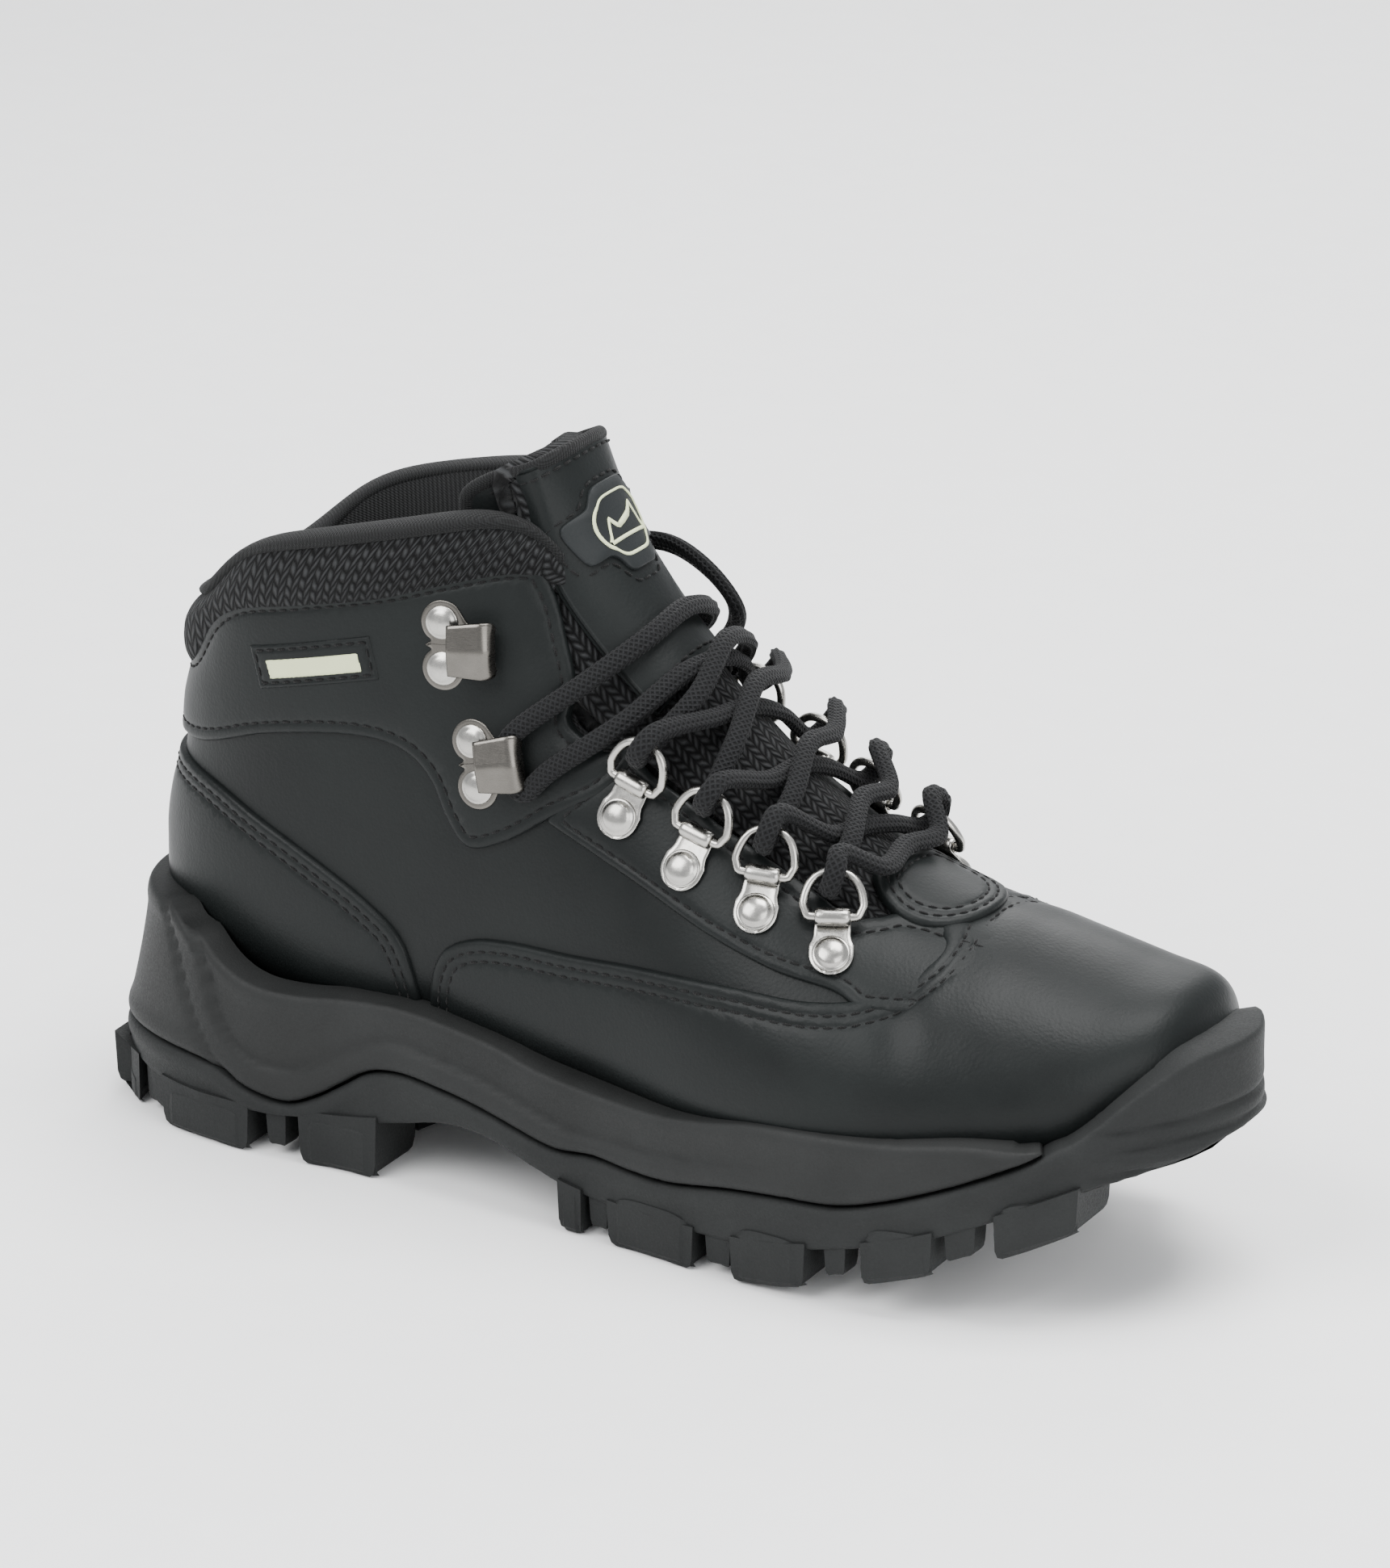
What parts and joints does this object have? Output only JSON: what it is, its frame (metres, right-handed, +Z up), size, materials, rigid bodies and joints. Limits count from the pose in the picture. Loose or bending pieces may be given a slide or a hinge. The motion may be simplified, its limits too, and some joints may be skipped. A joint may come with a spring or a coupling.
{
  "type": "mid-cut hiking boot",
  "caption": "Mid-cut leather hiking boot with a lugged rubber outsole, padded collar, gusseted tongue, swinging D-ring lace guides, speed hooks and a threaded lace.",
  "frame": {"origin": "bottom centre of the boot's bounding box without its lace, on the ground", "axes": "+X towards the toe, +Y towards the medial (inner) side of the foot, +Z up"},
  "size_m": [0.3112, 0.1164, 0.1839],
  "materials": {
    "leather": "satin",
    "nickel": "polished nickel",
    "gunmetal": "satin gunmetal",
    "aglet_plastic": "gloss",
    "rubber": "matte",
    "midsole_foam": "matte moulded polyurethane",
    "steel": "satin",
    "board": "matte fibreboard",
    "footbed_foam": "textile over foam",
    "stiffener": "matte thermoplastic",
    "lining_fabric": "knitted mesh",
    "collar_knit": "coarse knit over foam",
    "badge_plastic": "matte moulded",
    "label_fabric": "woven label",
    "lace_fabric": "braided polyester"
  },
  "bodies": {
    "boot": {"outsole": "rubber", "midsole": "midsole_foam", "shank": "steel", "insole_board": "board", "footbed": "footbed_foam", "vamp": "leather", "heel_panel": "leather", "toe_puff": "stiffener", "heel_counter": "stiffener", "lining": "lining_fabric", "collar_pad": "collar_knit", "tongue": "collar_knit", "tongue_cover": "leather", "tongue_badge": "badge_plastic", "label_patch": "leather", "label_window": "label_fabric", "clip_lateral_1": "nickel", "rivet_lateral_1": "nickel", "clip_lateral_2": "nickel", "rivet_lateral_2": "nickel", "clip_lateral_3": "nickel", "rivet_lateral_3": "nickel", "clip_lateral_4": "nickel", "rivet_lateral_4": "nickel", "hook_lateral_lower": "gunmetal", "hook_lateral_upper": "gunmetal", "quarter_lateral": "leather", "eyestay_lateral": "leather", "ankle_panel_lateral": "leather", "clip_medial_1": "nickel", "rivet_medial_1": "nickel", "clip_medial_2": "nickel", "rivet_medial_2": "nickel", "clip_medial_3": "nickel", "rivet_medial_3": "nickel", "clip_medial_4": "nickel", "rivet_medial_4": "nickel", "hook_medial_lower": "gunmetal", "hook_medial_upper": "gunmetal", "quarter_medial": "leather", "eyestay_medial": "leather", "ankle_panel_medial": "leather", "lace": "lace_fabric", "aglet_front": "aglet_plastic", "aglet_back": "aglet_plastic"},
    "ring_lateral_1": {"ring_lateral_1": "nickel"},
    "ring_lateral_2": {"ring_lateral_2": "nickel"},
    "ring_lateral_3": {"ring_lateral_3": "nickel"},
    "ring_lateral_4": {"ring_lateral_4": "nickel"},
    "ring_medial_1": {"ring_medial_1": "nickel"},
    "ring_medial_2": {"ring_medial_2": "nickel"},
    "ring_medial_3": {"ring_medial_3": "nickel"},
    "ring_medial_4": {"ring_medial_4": "nickel"}
  },
  "joints": [
    {"name": "ring_lateral_1_swing", "type": "hinge", "parent": "boot", "child": "ring_lateral_1", "pos_m": [0.05763, -0.02685, 0.08957], "axis": [0.9141, 0.4054, 0], "range_deg": [-4, 4]},
    {"name": "ring_lateral_2_swing", "type": "hinge", "parent": "boot", "child": "ring_lateral_2", "pos_m": [0.03947, -0.02838, 0.09763], "axis": [0.963, 0.2518, -0.0963], "range_deg": [-4, 4]},
    {"name": "ring_lateral_3_swing", "type": "hinge", "parent": "boot", "child": "ring_lateral_3", "pos_m": [0.0222, -0.02972, 0.10523], "axis": [0.9577, -0.0154, -0.2873], "range_deg": [-4, 4]},
    {"name": "ring_lateral_4_swing", "type": "hinge", "parent": "boot", "child": "ring_lateral_4", "pos_m": [0.00414, -0.02907, 0.11479], "axis": [0.9437, -0.0155, -0.3303], "range_deg": [-4, 4]},
    {"name": "ring_medial_1_swing", "type": "hinge", "parent": "boot", "child": "ring_medial_1", "pos_m": [0.0583, 0.03022, 0.08972], "axis": [-0.9596, 0.2812, 0], "range_deg": [-4, 4]},
    {"name": "ring_medial_2_swing", "type": "hinge", "parent": "boot", "child": "ring_medial_2", "pos_m": [0.03979, 0.03054, 0.0978], "axis": [-0.9756, 0.1969, 0.0976], "range_deg": [-4, 4]},
    {"name": "ring_medial_3_swing", "type": "hinge", "parent": "boot", "child": "ring_medial_3", "pos_m": [0.02214, 0.03232, 0.10534], "axis": [-0.9572, 0.0374, 0.2871], "range_deg": [-4, 4]},
    {"name": "ring_medial_4_swing", "type": "hinge", "parent": "boot", "child": "ring_medial_4", "pos_m": [0.00409, 0.03295, 0.11482], "axis": [-0.9417, 0.0682, 0.3296], "range_deg": [-4, 4]}
  ]
}
